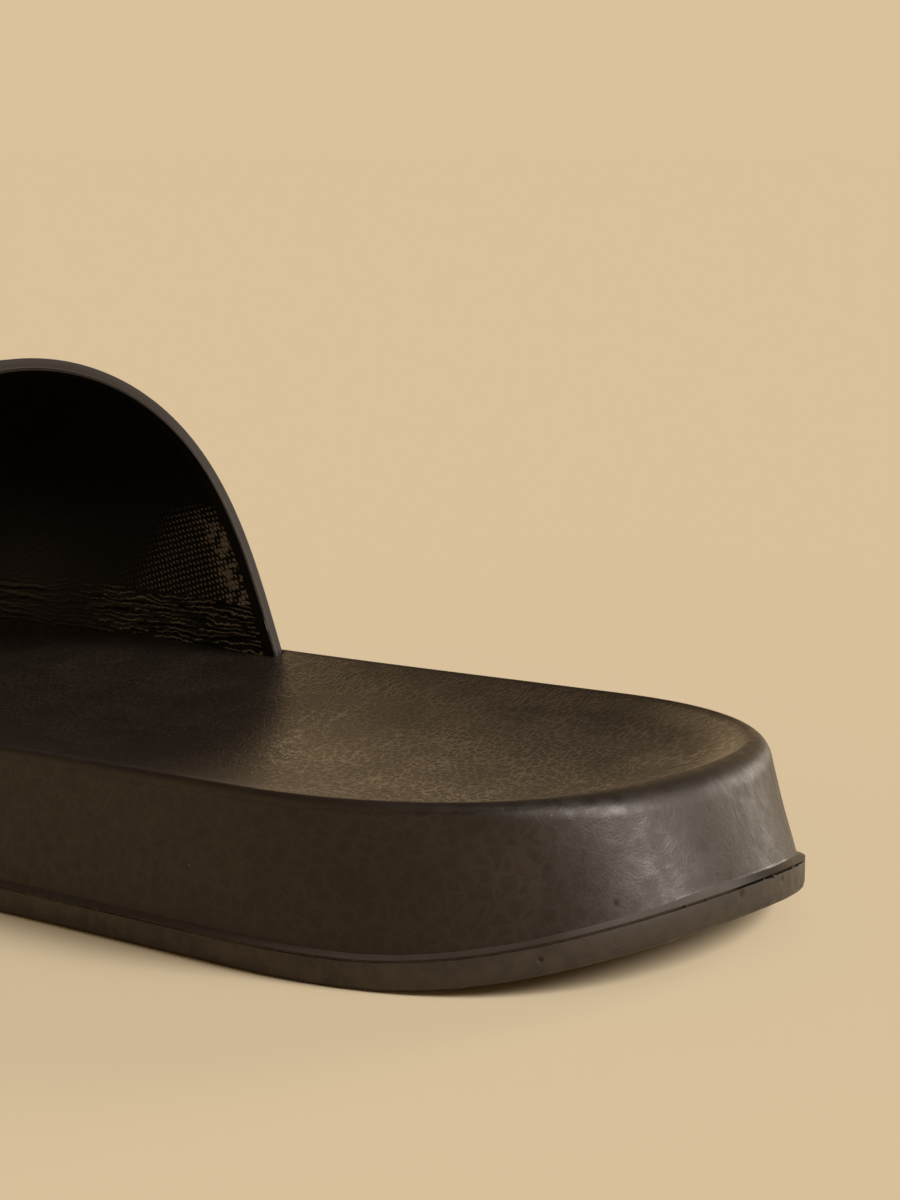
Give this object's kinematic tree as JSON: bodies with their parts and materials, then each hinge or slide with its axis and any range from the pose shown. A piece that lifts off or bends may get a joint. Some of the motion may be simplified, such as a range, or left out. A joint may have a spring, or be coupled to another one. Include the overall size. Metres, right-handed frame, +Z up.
{
  "type": "slide sandal",
  "caption": "Left slide sandal: thin rubber outsole with tread, moulded midsole with dished footbed and flange, and a broad strap over the foot.",
  "frame": {"origin": "middle of the bounding box, on the ground under the sole", "axes": "+X towards the toe, +Y towards the wearer's left, which is the outer side of this left shoe, +Z up"},
  "size_m": [0.278, 0.1032, 0.071],
  "materials": {
    "outsole_rubber": "satin black rubber",
    "midsole_foam": "leather-grained black moulded foam",
    "strap_band": "black coated band with a pimpled lining"
  },
  "bodies": {
    "root": {"outsole": "outsole_rubber", "midsole": "midsole_foam", "strap": "strap_band"}
  },
  "joints": []
}
